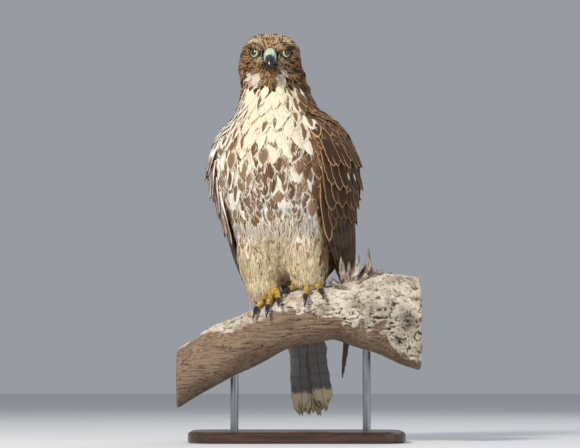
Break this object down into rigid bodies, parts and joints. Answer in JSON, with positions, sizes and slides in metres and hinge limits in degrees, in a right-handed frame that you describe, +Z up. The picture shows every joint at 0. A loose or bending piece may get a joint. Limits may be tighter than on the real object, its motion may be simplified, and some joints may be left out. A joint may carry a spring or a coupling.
{
  "type": "red-tailed hawk model",
  "caption": "Life-size red-tailed hawk, wings folded and head turned to the viewer, gripping a cut length of dead branch on a plain display stand.",
  "frame": {"origin": "on the stand's underside, below the branch between the hawk's feet", "axes": "+Z up, -Y the way the hawk's face looks, the branch along X with its thick end at +X"},
  "size_m": [0.305, 0.1863, 0.516],
  "materials": {
    "brown_feathers": "soft dark brown feathers with buff streaks",
    "pale_feathers": "cream feathers with brown heart-shaped spots",
    "leg_feathers": "loose buff feathers",
    "wing_feathers": "dark brown feathers with tan edges",
    "tail_feathers": "grey-brown feathers with narrow dark bars",
    "cere_skin": "bare pale greenish skin, slightly waxy",
    "horn": "polished blackish horn",
    "eye": "wet pale yellow iris round a black pupil",
    "foot_skin": "yellow scaly skin",
    "dead_wood": "weathered grey dead wood with flaking brown bark",
    "stand_wood": "dark stained wood, satin",
    "stand_steel": "plain brushed rod"
  },
  "bodies": {
    "root": {"head": "brown_feathers", "neck": "pale_feathers", "torso": "pale_feathers", "tail": "tail_feathers", "leg_right": "leg_feathers", "leg_left": "leg_feathers", "wing_right": "wing_feathers", "wing_left": "wing_feathers", "cere": "cere_skin", "bill_upper": "horn", "bill_lower": "horn", "eye_right": "eye", "eye_left": "eye", "foot_right": "foot_skin", "foot_left": "foot_skin", "perch_branch": "dead_wood", "stand_base": "stand_wood", "stand_rod_left": "stand_steel", "stand_rod_right": "stand_steel", "claw_right_inner": "horn", "claw_right_middle": "horn", "claw_right_outer": "horn", "claw_right_hind": "horn", "claw_left_inner": "horn", "claw_left_middle": "horn", "claw_left_outer": "horn", "claw_left_hind": "horn"}
  },
  "joints": []
}
